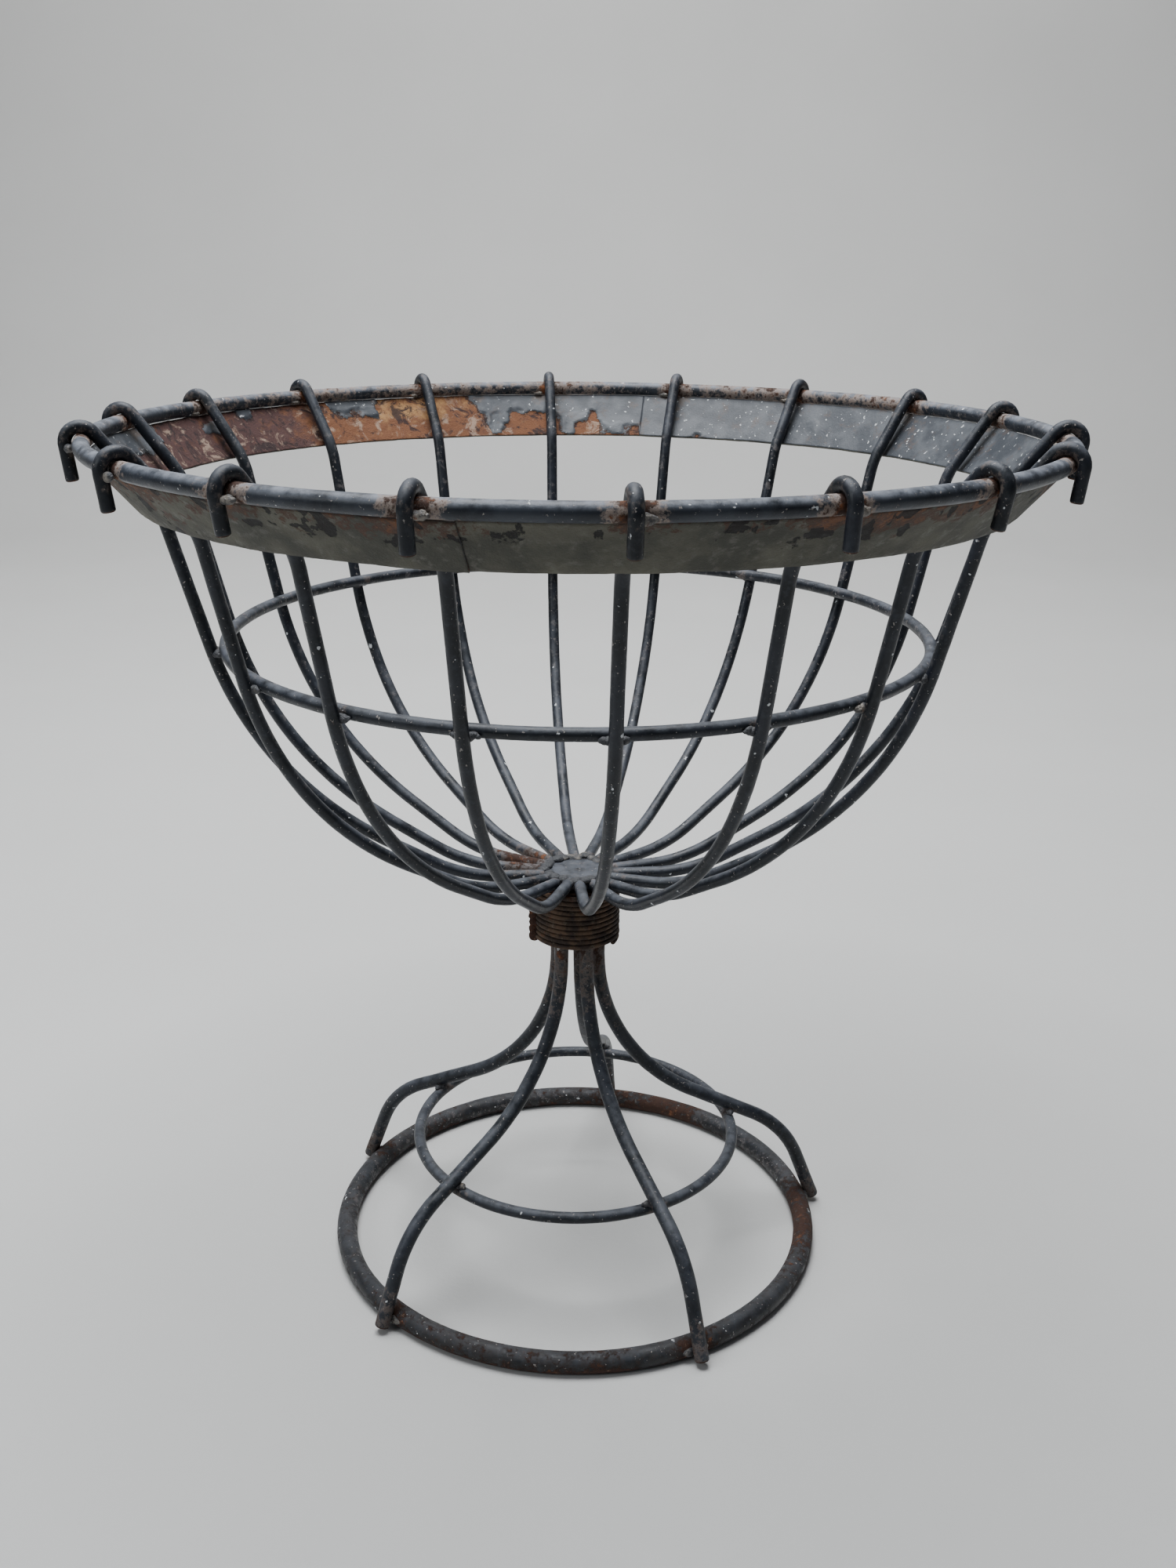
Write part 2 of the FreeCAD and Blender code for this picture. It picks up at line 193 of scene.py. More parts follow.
def rib_directions(node):
    """Azimuths of a rib at the hub, low in the bowl, at the mid hoop and at the rim."""
    at_hub = azimuth_of(node, 0.0, 0.030)
    in_bowl = azimuth_of(node, 0.095, 0.115)
    at_rim = azimuth_of(node, 0.250)
    share = (HOOP_CENTRE.z - BOWL_SIDE[1]) / (KNUCKLE_HEIGHT - BOWL_SIDE[1])
    return at_hub, in_bowl, in_bowl + (at_rim - in_bowl) * share, at_rim


def beads_of(node):
    """Centre of each separate bead in a CAD node of welds."""
    work = bmesh.new()
    work.from_mesh(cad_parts[node].data)
    bmesh.ops.remove_doubles(work, verts=work.verts, dist=1e-6)
    left = set(work.verts)
    beads = []
    while left:
        group = [left.pop()]
        for vert in group:
            near = {edge.other_vert(vert) for edge in vert.link_edges} & left
            left -= near
            group.extend(near)
        points = np.array([vert.co for vert in group])
        low, high = points.min(axis=0), points.max(axis=0)
        beads.append((low + high) / 2.0)
    work.free()
    return sorted(beads, key=lambda bead: (round(float(azimuths_of(bead)), 3), bead[2]))


RIM_CENTRE, RIM_RADIUS, RIM_BAR = ring_of("rim_ring")
HOOP_CENTRE, HOOP_RADIUS, HOOP_BAR = ring_of("mid_hoop")
LOWER_CENTRE, LOWER_RADIUS, LOWER_BAR = ring_of("lower_hoop")
BASE_CENTRE, BASE_RADIUS, BASE_BAR = ring_of("base_ring")
RIBS = [rib_directions("rib_%02d" % number) for number in range(1, RIB_COUNT + 1)]
LEG_AZIMUTHS = [azimuth_of("leg_%d" % number) for number in range(1, LEG_COUNT + 1)]


def joint_points():
    """Places where pieces are welded, with how far rust creeps from each and how strong it is."""
    joints = []
    for _, _, at_hoop, at_rim in RIBS:
        joints.append((polar(at_rim, RIM_RADIUS, RIM_CENTRE.z), 0.012, 0.41))
        joints.append((polar(at_hoop, HOOP_RADIUS, HOOP_CENTRE.z), 0.007, 0.30))
    for azimuth in LEG_AZIMUTHS:
        joints.append((polar(azimuth, LOWER_RADIUS, LOWER_CENTRE.z), 0.009, 0.46))
        joints.append((polar(azimuth, BASE_RADIUS + BASE_BAR, BASE_CENTRE.z), 0.016, 0.46))
    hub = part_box("hub_disc")[1]
    joints.append((np.array([0.0, 0.0, hub.z]), 0.032, 0.40))
    joints.append((np.array([-0.032, 0.012, hub.z + 0.003]), 0.022, 0.62))
    return joints


def joint_rust(points):
    """How rusty each point is because of the joints near it, 0 to 1."""
    amount = np.zeros(points.shape[:-1])
    for place, reach, strength in joint_points():
        distance = np.linalg.norm(points - place, axis=-1)
        amount = np.maximum(amount, strength * np.exp(-(distance / reach) ** 2))
    return amount


# ------------------------------------------------------------------ paths

def line(start, end, step=0.0005):
    count = max(2, int(math.dist(start, end) / step))
    return np.linspace(start, end, count)


def arc(centre, radius, first, last, step=0.0005):
    count = max(3, int(abs(last - first) * radius / step))
    angles = np.linspace(first, last, count)
    return np.asarray(centre) + radius * np.stack([np.cos(angles), np.sin(angles)], axis=-1)


def rounded(corners, bends):
    """Fine points through the corners, each inner corner rounded to its bend radius."""
    corners = [np.array(corner, float) for corner in corners]
    start = corners[0]
    parts = []
    for index, bend in enumerate(bends, 1):
        corner = corners[index]
        back = unit(corners[index - 1] - corner)
        ahead = unit(corners[index + 1] - corner)
        half = math.acos(float(back @ ahead)) / 2.0
        centre = corner + unit(back + ahead) * bend / math.sin(half)
        enter = corner + back * bend / math.tan(half) - centre
        leave = corner + ahead * bend / math.tan(half) - centre
        first = math.atan2(enter[1], enter[0])
        turn = math.atan2(leave[1], leave[0]) - first
        turn = (turn + math.pi) % (2.0 * math.pi) - math.pi
        parts.append(line(start, centre + enter)[:-1])
        parts.append(arc(centre, bend, first, first + turn)[:-1])
        start = centre + leave
    parts.append(line(start, corners[-1]))
    return np.concatenate(parts)


def hoop_reach(azimuth):
    """Distance from the axis to a rib lying against the outside of the mid hoop."""
    angle = math.radians(azimuth)
    apart = HOOP_BAR + RIB_ROD + TOUCH_GAP
    outside = HOOP_RADIUS + apart / math.cos(math.radians(RIB_SIDE_LEAN))
    shift = HOOP_CENTRE.y
    return math.sqrt(outside ** 2 - (shift * math.sin(angle)) ** 2) - shift * math.cos(angle)


def rib_outline(at_hoop, tail, tail_lean):
    """Distance and height along a rib: floor, side, knuckle, hook over the rim bar, tail."""
    rise = (KNUCKLE_HEIGHT - BOWL_SIDE[1]) / (HOOP_CENTRE.z - BOWL_SIDE[1])
    knuckle = BOWL_SIDE[0] + (hoop_reach(at_hoop) - BOWL_SIDE[0]) * rise
    rim = np.array([RIM_RADIUS, RIM_CENTRE.z])
    wrap = RIM_BAR + RIB_ROD + TOUCH_GAP
    run, climb = rim - (knuckle, KNUCKLE_HEIGHT)
    lean = math.atan2(climb, run) + math.asin(wrap / math.hypot(run, climb))
    hook_start = lean + math.pi / 2.0
    hook_end = -math.radians(tail_lean)
    touch = rim + wrap * np.array([math.cos(hook_start), math.sin(hook_start)])
    body = rounded([RIB_END, BOWL_FLOOR, BOWL_SIDE, (knuckle, KNUCKLE_HEIGHT), touch], RIB_BENDS)
    hook = arc(rim, wrap, hook_start, hook_end)
    down = np.array([math.sin(hook_end), -math.cos(hook_end)])
    return np.concatenate([body[:-1], hook[:-1], line(hook[-1], hook[-1] + down * tail)])


def rib_path(number, tail, tail_lean):
    """Points along a rib, which wanders sideways between hub, bowl and rim."""
    at_hub, in_bowl, at_hoop, at_rim = RIBS[number - 1]
    distance, height = rib_outline(at_hoop, tail, tail_lean).T
    to_bowl = (1.0 / RIB_END[0] - 1.0 / distance) / (1.0 / RIB_END[0] - 1.0 / BOWL_FLOOR[0])
    to_rim = (height - BOWL_SIDE[1]) / (KNUCKLE_HEIGHT - BOWL_SIDE[1])
    azimuth = at_hub + (in_bowl - at_hub) * np.clip(to_bowl, 0.0, 1.0)
    azimuth = eased(azimuth + (at_rim - in_bowl) * np.clip(to_rim, 0.0, 1.0))
    return polar(azimuth, distance, height), polar(azimuth + 90.0, 1.0, 0.0)


def eased(values, window=41):
    """Running mean, so that a bend starts and ends softly."""
    padded = np.pad(values, window // 2, mode="edge")
    return np.convolve(padded, np.ones(window) / window, "valid")


def leg_outline():
    """Leg in its own plane: upright in the neck, out over the lower hoop, down past the base ring."""
    low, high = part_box("leg_1")
    foot_height = low.z + 0.0022
    apart = BASE_BAR + LEG_ROD + TOUCH_GAP
    run = BASE_RADIUS - LEG_SHOULDER[0]
    drop = LEG_SHOULDER[1] - BASE_CENTRE.z
    lean = math.atan2(run, drop) + math.asin(apart / math.hypot(run, drop))
    foot = (LEG_SHOULDER[0] + (LEG_SHOULDER[1] - foot_height) * math.tan(lean), foot_height)
    corners = [(LEG_NECK_RADIUS, high.z), (LEG_NECK_RADIUS, LEG_FLARE_HEIGHT), LEG_SHOULDER, foot]
    return rounded(corners, LEG_BENDS)


def resampled(path, distances):
    along = np.concatenate([[0.0], np.cumsum(np.linalg.norm(np.diff(path, axis=0), axis=1))])
    return np.stack([np.interp(distances, along, path[:, axis]) for axis in range(path.shape[1])], axis=-1)


def length_of(path):
    return float(np.linalg.norm(np.diff(path, axis=0), axis=1).sum())


# ------------------------------------------------------------------ meshes

def publish(name, mesh, nodes, materials):
    """Shows a finished mesh in place of its CAD nodes."""
    piece = bpy.data.objects.new(name, mesh)
    bpy.context.scene.collection.objects.link(piece)
    for material in materials:
        mesh.materials.append(material)
    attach(piece, "root")
    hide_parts(*nodes)
    return piece


def set_attribute(mesh, name, values):
    layer = mesh.attributes.new(name, "FLOAT", "POINT")
    layer.data.foreach_set("value", np.asarray(values, np.float32).ravel())


def skin(name, sections, closed):
    """Mesh over a row of closed sections. An open row gets a flat cap at each end."""
    rows, across = sections.shape[:2]
    points = sections.reshape(-1, 3)
    row = np.arange(rows if closed else rows - 1)[:, None]
    column = np.arange(across)[None, :]
    here = row * across + column
    beside = row * across + (column + 1) % across
    above = (row + 1) % rows * across + column
    above_beside = (row + 1) % rows * across + (column + 1) % across
    faces = np.stack([here, beside, above_beside, above], axis=-1).reshape(-1, 4).tolist()
    smooth_count = len(faces)
    if not closed:
        faces.append(list(range(across))[::-1])
        faces.append(list(range((rows - 1) * across, rows * across)))
    mesh = bpy.data.meshes.new(name)
    mesh.from_pydata(points.tolist(), [], faces)
    smooth_faces = np.arange(len(faces)) < smooth_count
    mesh.polygons.foreach_set("use_smooth", smooth_faces)
    return mesh


def end_rounding(length, step, radius):
    """Distances along a cut rod, and the share of its radius that it has at each."""
    edge = np.array([0.0, 0.12, 0.3]) * radius
    share = np.array([0.80, 0.95, 1.0])
    inner = np.linspace(edge[-1] + step / 2.0, length - edge[-1] - step / 2.0, int(length / step))
    distances = np.concatenate([edge, inner, length - edge[::-1]])
    shares = np.concatenate([share, np.ones(len(inner)), share[::-1]])
    return distances, shares


def rod(name, path, across, radius, closed, seed, step=0.0018, sides=16, scars=1.0, stain=None):
    """Round bar along a path; across is a unit vector square to the path at each point."""
    if closed:
        count = int(length_of(path) / step)
        picks = np.linspace(0, len(path) - 1, count, endpoint=False)
        path = path[picks.astype(int)]
        across = across[picks.astype(int)]
        shares = np.ones(len(path))
        tangent = unit(np.roll(path, -1, axis=0) - np.roll(path, 1, axis=0))
    else:
        distances, shares = end_rounding(length_of(path), step, radius)
        across = resampled_like(across, path, distances)
        path = resampled(path, distances)
        tangent = unit(np.gradient(path, axis=0))
    across = unit(across - tangent * (across * tangent).sum(axis=-1, keepdims=True))
    normal = np.cross(tangent, across)
    angles = np.linspace(0.0, 2.0 * math.pi, sides, endpoint=False)[None, :, None]
    outward = np.cos(angles) * across[:, None] + np.sin(angles) * normal[:, None]
    sections = path[:, None] + outward * radius * shares[:, None, None]
    dents = (rough(sections, 0.030, seed) * 0.028 + rough(sections, 0.006, seed + 5) * 0.022) * radius
    scale = joint_rust(sections) * rough(sections, 0.0022, seed + 9, 2) * 0.00022 * scars
    sections = sections + outward * (dents + scale)[..., None]
    mesh = skin(name, sections, closed)
    points = sections.reshape(-1, 3)
    facing_in = -(outward * unit(polar(azimuths_of(sections), 1.0, 0.0))).sum(axis=-1)
    rust = joint_rust(points)
    if stain:
        rust = np.maximum(rust, stain(points))
    if not closed:
        cut_face = np.zeros(len(shares))
        cut_face[-2:] = 0.8
        rust = np.maximum(rust, np.repeat(cut_face, sides))
    set_attribute(mesh, "rust", rust)
    set_attribute(mesh, "worn", smooth(facing_in, 0.1, 0.9))
    return mesh


def resampled_like(vectors, path, distances):
    """Vectors given along a path, taken at other distances along it."""
    along = np.concatenate([[0.0], np.cumsum(np.linalg.norm(np.diff(path, axis=0), axis=1))])
    return unit(np.stack([np.interp(distances, along, vectors[:, axis]) for axis in range(3)], axis=-1))


def level_ring(name, centre, radius, bar, seed, step=0.0018, sides=20, wave=0.0004, stain=None):
    """Closed ring of round bar, bent by hand and so a little off a true circle."""
    azimuths = np.linspace(0.0, 360.0, 7200, endpoint=False)
    circle = polar(azimuths, 1.0, 0.0)
    wobble = rough(circle, 0.9, seed, 2)[:, None] * wave
    path = np.array(centre) + circle * (radius + wobble)
    path[:, 2] += rough(circle, 0.8, seed + 3, 2) * wave
    return rod(name, path, circle, bar, True, seed, step, sides, stain=stain)


# -------------------------------------------------------------- weld beads

def lump(centre, half_size, seed, detail=3, roughness=0.16):
    """Frozen drop of weld metal, sized along its ring, outwards and upwards, with fine ripples."""
    work = bmesh.new()
    bmesh.ops.create_icosphere(work, subdivisions=detail, radius=1.0)
    points = np.array([vert.co for vert in work.verts])
    faces = [[vert.index for vert in face.verts] for face in work.faces]
    work.free()
    place = points + seed * 7.31
    swell = 1.0 + roughness * rough(place, 0.9, seed, 3) + 0.05 * rough(place, 0.25, seed + 1, 2)
    along, outward, upward = (points * swell[:, None] * half_size).T[:, :, None]
    azimuth = azimuths_of(centre)
    axes = polar(azimuth + 90.0, 1.0, 0.0), polar(azimuth, 1.0, 0.0), np.array([0.0, 0.0, 1.0])
    return centre + along * axes[0] + outward * axes[1] + upward * axes[2], faces


def bead_mesh(name, lumps, rust_level):
    points = []
    faces = []
    for corner_points, corner_faces in lumps:
        base = sum(len(group) for group in points)
        points.append(corner_points)
        faces.extend([[base + index for index in face] for face in corner_faces])
    points = np.concatenate(points)
    mesh = bpy.data.meshes.new(name)
    mesh.from_pydata(points.tolist(), [], faces)
    mesh.polygons.foreach_set("use_smooth", np.ones(len(faces), bool))
    set_attribute(mesh, "rust", np.full(len(points), rust_level) + 0.25 * rough(points, 0.02, 41))
    set_attribute(mesh, "worn", np.full(len(points), 0.5))
    return mesh


# ------------------------------------------------------------------ shaders

# Colours as linear red, green and blue
RUST_BROWN = (0.045, 0.021, 0.014)
RUST_ORANGE = (0.235, 0.088, 0.036)
RUST_CRUST = (0.36, 0.235, 0.165)
RUST_DARK = (0.016, 0.009, 0.008)
PAINT_MOTTLE = (0.040, 0.047, 0.060)
# Pale blue-grey laid on the upward faces of the paint: dust, and painted sheen of the light above
PAINT_DUST_AND_SHEEN = (0.225, 0.245, 0.285)
PAINT_RUBBED = (0.190, 0.172, 0.168)
PAINT_CHIP = (0.34, 0.31, 0.29)
PAINT_SPLASH = (0.60, 0.62, 0.64)
PAINT_HALO = (0.330, 0.262, 0.222)
WIRE_DARK = (0.028, 0.018, 0.014)
WIRE_BROWN = (0.095, 0.058, 0.036)
WIRE_KHAKI = (0.150, 0.128, 0.092)
WIRE_ORANGE = (0.165, 0.062, 0.026)
WELD_DARK = (0.022, 0.024, 0.029)
WELD_GREY = (0.062, 0.064, 0.070)
WELD_BARE = (0.300, 0.268, 0.225)
BAND_ORANGE = (0.175, 0.072, 0.034)
BAND_PLUM = (0.072, 0.034, 0.031)
BAND_OCHRE = (0.400, 0.225, 0.095)
BAND_CREAM = (0.370, 0.270, 0.205)
BAND_BLACK = (0.026, 0.015, 0.016)
BAND_GREY = ((0.040, 0.046, 0.056), (0.088, 0.096, 0.108))
BAND_BROWN_STAIN = (0.090, 0.056, 0.038)
BAND_RIB_STAIN = (0.095, 0.066, 0.048)
BAND_WHITE = (0.58, 0.60, 0.61)
FLAKE_SHADOW = (0.012, 0.009, 0.010)
BAND_KHAKI = ((0.054, 0.053, 0.043), (0.108, 0.104, 0.080))
BAND_FILM = (0.135, 0.132, 0.110)
BAND_RUST = (0.066, 0.034, 0.023)
BAND_BRIGHT_RUST = (0.165, 0.066, 0.030)
PIT_BLACK = (0.007, 0.006, 0.006)
FLOOR_TONES = ((0.56, 0.56, 0.55), (0.62, 0.62, 0.61))


class Finish:
    """A node material whose patterns are measured in metres on the object."""

    def __init__(self, name):
        self.material = bpy.data.materials.new(name)
        self.material.use_nodes = True
        self.tree = self.material.node_tree
        self.surface = self.tree.nodes["Principled BSDF"]
        self.place = self.tree.nodes.new("ShaderNodeTexCoord").outputs["Object"]
        self.geometry = self.tree.nodes.new("ShaderNodeNewGeometry")

    def feed(self, socket, value):
        if isinstance(value, bpy.types.NodeSocket):
            self.tree.links.new(value, socket)
        elif isinstance(value, tuple) and len(socket.default_value) == 4:
            socket.default_value = (*value, 1.0)
        else:
            socket.default_value = value

    def noise(self, size, detail=4.0, roughness=0.55, distortion=0.0):
        node = self.tree.nodes.new("ShaderNodeTexNoise")
        self.feed(node.inputs["Vector"], self.place)
        self.feed(node.inputs["Scale"], 1.0 / size)
        self.feed(node.inputs["Detail"], detail)
        self.feed(node.inputs["Roughness"], roughness)
        self.feed(node.inputs["Distortion"], distortion)
        return node.outputs["Fac"]

    def attribute(self, name):
        node = self.tree.nodes.new("ShaderNodeAttribute")
        node.attribute_name = name
        return node.outputs["Fac"]

    def facing_up(self):
        node = self.tree.nodes.new("ShaderNodeSeparateXYZ")
        self.feed(node.inputs[0], self.geometry.outputs["Normal"])
        return node.outputs["Z"]

    def math(self, operation, first, second=0.0, third=0.0):
        node = self.tree.nodes.new("ShaderNodeMath")
        node.operation = operation
        for socket, value in zip(node.inputs, (first, second, third)):
            self.feed(socket, value)
        return node.outputs[0]

    def step(self, value, low, high):
        """0 below low, 1 above high, with a soft step between."""
        node = self.tree.nodes.new("ShaderNodeMapRange")
        node.interpolation_type = "SMOOTHSTEP"
        self.feed(node.inputs["Value"], value)
        self.feed(node.inputs["From Min"], low)
        self.feed(node.inputs["From Max"], high)
        return node.outputs["Result"]

    def patches(self, size, detail, roughness, low, high, distortion=0.0):
        """Noise cut into patches with soft edges."""
        return self.step(self.noise(size, detail, roughness, distortion), low, high)

    def mix(self, share, first, second):
        node = self.tree.nodes.new("ShaderNodeMix")
        node.data_type = "RGBA"
        self.feed(node.inputs[0], share)
        self.feed(node.inputs[6], first)
        self.feed(node.inputs[7], second)
        return node.outputs[2]

    def cover(self, colour, share, weight, second):
        """Lays a second colour over the first where share is high, by up to weight."""
        return self.mix(self.math("MULTIPLY", share, weight), colour, second)

    def ragged(self, size, detail, roughness, height):
        """Noise centred on 0, for fraying the edge of something that an attribute marks."""
        return self.math("MULTIPLY_ADD", self.noise(size, detail, roughness), height, -height / 2.0)

    def blend(self, share, first, second):
        node = self.tree.nodes.new("ShaderNodeMix")
        self.feed(node.inputs[0], share)
        self.feed(node.inputs[2], first)
        self.feed(node.inputs[3], second)
        return node.outputs[0]

    def done(self, colour, roughness, height, depth, shine):
        """Joins the patterns to the surface; height 0 to 1 is depth metres of relief."""
        bump = self.tree.nodes.new("ShaderNodeBump")
        self.feed(bump.inputs["Strength"], 1.0)
        self.feed(bump.inputs["Distance"], depth)
        self.feed(bump.inputs["Height"], height)
        self.feed(self.surface.inputs["Base Color"], colour)
        self.feed(self.surface.inputs["Roughness"], roughness)
        self.feed(self.surface.inputs["Specular IOR Level"], shine)
        self.feed(self.surface.inputs["Normal"], bump.outputs["Normal"])
        return self.material


def rust_colour(finish, warm):
    """Brown scale with orange bloom and pale dry crust. warm shifts it from brown to orange."""
    bloom = finish.patches(0.007, 6.0, 0.65, 0.62 - 0.35 * warm, 0.80 - 0.25 * warm)
    crust = finish.patches(0.0032, 5.0, 0.7, 0.60, 0.74)
    specks = finish.patches(0.0014, 3.0, 0.6, 0.60, 0.68)
    colour = finish.mix(bloom, RUST_BROWN, RUST_ORANGE)
    colour = finish.cover(colour, crust, 0.75, RUST_CRUST)
    return finish.cover(colour, specks, 0.8, RUST_DARK)


def worn_paint(name, deep, dull, warm, dust_and_sheen, halo_strength, rust_bias=0.0):
    """Old blue-black satin paint: paler on top with dust and painted sheen, rubbed on the inside, chipped
    and rusty at joints.
    """
    finish = Finish(name)
    colour = finish.mix(finish.patches(0.022, 5.0, 0.55, 0.35, 0.68), deep, dull)
    colour = finish.cover(colour, finish.patches(0.0035, 5.0, 0.6, 0.50, 0.68), 0.30, PAINT_MOTTLE)
    # Upward faces turn paler in patches: partly dust, partly painted sheen of the light above
    top = finish.step(finish.facing_up(), 0.10, 0.90)
    pale_layer = finish.math("MULTIPLY", top, finish.patches(0.009, 6.0, 0.65, 0.28, 0.68))
    colour = finish.cover(colour, pale_layer, dust_and_sheen, PAINT_DUST_AND_SHEEN)
    rubbed = finish.math("MULTIPLY", finish.attribute("worn"), finish.patches(0.004, 6.0, 0.7, 0.52, 0.66))
    colour = finish.cover(colour, rubbed, 0.50, PAINT_RUBBED)
    chips = finish.patches(0.0018, 3.0, 0.55, 0.665, 0.695)
    colour = finish.cover(colour, chips, 0.75, PAINT_CHIP)
    colour = finish.mix(finish.patches(0.0042, 2.0, 0.5, 0.730, 0.752), colour, PAINT_SPLASH)
    frayed = finish.math("ADD", finish.ragged(0.0052, 7.0, 0.72, 1.5), rust_bias)
    decay = finish.math("ADD", finish.attribute("rust"), frayed)
    halo = finish.step(decay, 0.24, 0.44)
    colour = finish.cover(colour, halo, halo_strength, PAINT_HALO)
    rust = finish.step(decay, 0.42, 0.60)
    colour = finish.mix(rust, colour, rust_colour(finish, warm))
    gloss = finish.blend(finish.noise(0.006, 4.0), 0.26, 0.50)
    gloss = finish.blend(pale_layer, gloss, 0.62)
    gloss = finish.blend(halo, gloss, 0.84)
    grain = finish.noise(0.0009, 4.0, 0.6)
    scale = finish.math("ADD", finish.noise(0.0026, 5.0, 0.65), grain)
    relief = finish.blend(rust, finish.math("MULTIPLY", grain, 0.35), scale)
    relief = finish.math("SUBTRACT", relief, finish.math("MULTIPLY", chips, 0.25))
    return finish.done(colour, gloss, relief, 0.00035, shine=0.34)


def wire_finish():
    """Dark brown rusted wire with khaki light on its crowns."""
    finish = Finish("rusty_wire")
    colour = finish.mix(finish.patches(0.010, 6.0, 0.65, 0.40, 0.62), WIRE_DARK, WIRE_BROWN)
    khaki = finish.patches(0.003, 6.0, 0.7, 0.55, 0.72)
    colour = finish.cover(colour, khaki, 0.6, WIRE_KHAKI)
    colour = finish.cover(colour, finish.patches(0.0062, 6.0, 0.7, 0.60, 0.70), 0.7, WIRE_ORANGE)
    relief = finish.math("ADD", finish.noise(0.0016, 6.0, 0.7), finish.noise(0.0006, 3.0, 0.6))
    return finish.done(colour, finish.blend(khaki, 0.86, 0.62), relief, 0.00045, shine=0.35)


def iron_finish():
    """Bare rusted iron of the neck's core and its weld run."""
    finish = Finish("rusty_iron")
    relief = finish.math("ADD", finish.noise(0.0030, 6.0, 0.7), finish.noise(0.0008, 3.0, 0.6))
    return finish.done(rust_colour(finish, 0.30), 0.88, relief, 0.0005, shine=0.3)


def weld_finish():
    """Weld beads under paint, khaki and cream where it has worn off, with rust breaking through."""
    finish = Finish("weld_metal")
    colour = finish.mix(finish.noise(0.003, 5.0), WELD_DARK, WELD_GREY)
    worn = finish.math("ADD", finish.noise(0.0046, 6.0, 0.7), finish.attribute("rust"))
    colour = finish.cover(colour, finish.step(worn, 0.72, 0.98), 0.75, WELD_BARE)
    decay = finish.math("ADD", finish.attribute("rust"), finish.ragged(0.0040, 7.0, 0.72, 1.6))
    rust = finish.step(decay, 0.44, 0.66)
    colour = finish.mix(rust, colour, rust_colour(finish, 0.42))
    relief = finish.math("ADD", finish.noise(0.0022, 6.0, 0.7), finish.noise(0.0007, 3.0, 0.6))
    return finish.done(colour, finish.blend(rust, 0.44, 0.86), relief, 0.0005, shine=0.45)


def flaked_rust(finish):
    """Orange rust, older and plum where marked, with ochre, cream and black patches."""
    aged = finish.math("ADD", finish.noise(0.012, 7.0, 0.68), finish.attribute("plum"))
    colour = finish.mix(finish.step(aged, 0.46, 0.72), BAND_ORANGE, BAND_PLUM)
    bloom = finish.math("ADD", finish.noise(0.0085, 7.0, 0.7, 0.4), finish.attribute("ochre"))
    colour = finish.cover(colour, finish.step(bloom, 0.58, 0.84), 0.85, BAND_OCHRE)
    colour = finish.cover(colour, finish.patches(0.0120, 8.0, 0.70, 0.53, 0.63, 1.0), 0.75, BAND_CREAM)
    return finish.cover(colour, finish.patches(0.0110, 8.0, 0.74, 0.51, 0.60, 0.8), 0.90, BAND_BLACK)


def flaked_paint(finish):
    """Grey paint with brown stains, browner beside the ribs, and white specks."""
    colour = finish.mix(finish.patches(0.014, 5.0, 0.55, 0.38, 0.66), *BAND_GREY)
    colour = finish.cover(colour, finish.patches(0.0110, 6.0, 0.7, 0.54, 0.68), 0.50, BAND_BROWN_STAIN)
    beside_ribs = finish.math("ADD", finish.attribute("rust"), finish.noise(0.006, 6.0, 0.7))
    colour = finish.cover(colour, finish.step(beside_ribs, 0.60, 0.86), 0.7, BAND_RIB_STAIN)
    return finish.cover(colour, finish.patches(0.0024, 2.0, 0.5, 0.675, 0.705), 0.8, BAND_WHITE)


def band_inside():
    """Inside of the sheet: grey paint lifting in flakes off orange and purple-brown rust."""
    finish = Finish("band_flaking")
    cover = finish.math("ADD", finish.attribute("paint"), finish.ragged(0.0016, 5.0, 0.7, 0.30))
    painted = finish.step(cover, -0.03, 0.03)
    bare = finish.math("SUBTRACT", 1.0, painted)
    flake_edge = finish.math("MULTIPLY", finish.step(cover, -0.10, -0.02), bare)
    colour = finish.mix(painted, flaked_rust(finish), flaked_paint(finish))
    colour = finish.cover(colour, flake_edge, 0.85, FLAKE_SHADOW)
    crust = finish.math("ADD", finish.noise(0.0030, 7.0, 0.7), finish.noise(0.0009, 3.0, 0.6))
    paint_grain = finish.math("MULTIPLY_ADD", finish.noise(0.0012, 4.0), 0.35, 1.2)
    relief = finish.blend(painted, crust, paint_grain)
    return finish.done(colour, finish.blend(painted, 0.90, 0.55), relief, 0.00045, shine=0.4)


def band_outside():
    """Outside of the sheet: dull khaki-grey, pitted, with rust stains below the rim."""
    finish = Finish("band_weathered")
    colour = finish.mix(finish.patches(0.030, 6.0, 0.6, 0.36, 0.66), *BAND_KHAKI)
    pale_layer = finish.patches(0.006, 6.0, 0.68, 0.50, 0.72)
    colour = finish.cover(colour, pale_layer, 0.5, BAND_FILM)
    frayed = finish.ragged(0.0070, 7.0, 0.74, 1.7)
    decay = finish.math("ADD", finish.attribute("rust"), frayed)
    colour = finish.cover(colour, finish.step(decay, 0.42, 0.53), 0.90, BAND_RUST)
    colour = finish.cover(colour, finish.step(decay, 0.60, 0.78), 0.8, BAND_BRIGHT_RUST)
    pits = finish.step(finish.math("ADD", finish.attribute("pits"), frayed), 0.36, 0.46)
    colour = finish.cover(colour, pits, 0.92, PIT_BLACK)
    relief = finish.math("ADD", finish.noise(0.0040, 6.0, 0.7), finish.noise(0.0010, 3.0, 0.6))
    relief = finish.math("SUBTRACT", relief, pits)
    return finish.done(colour, finish.blend(pale_layer, 0.78, 0.60), relief, 0.0004, shine=0.4)


# ------------------------------------------------------------------ pieces

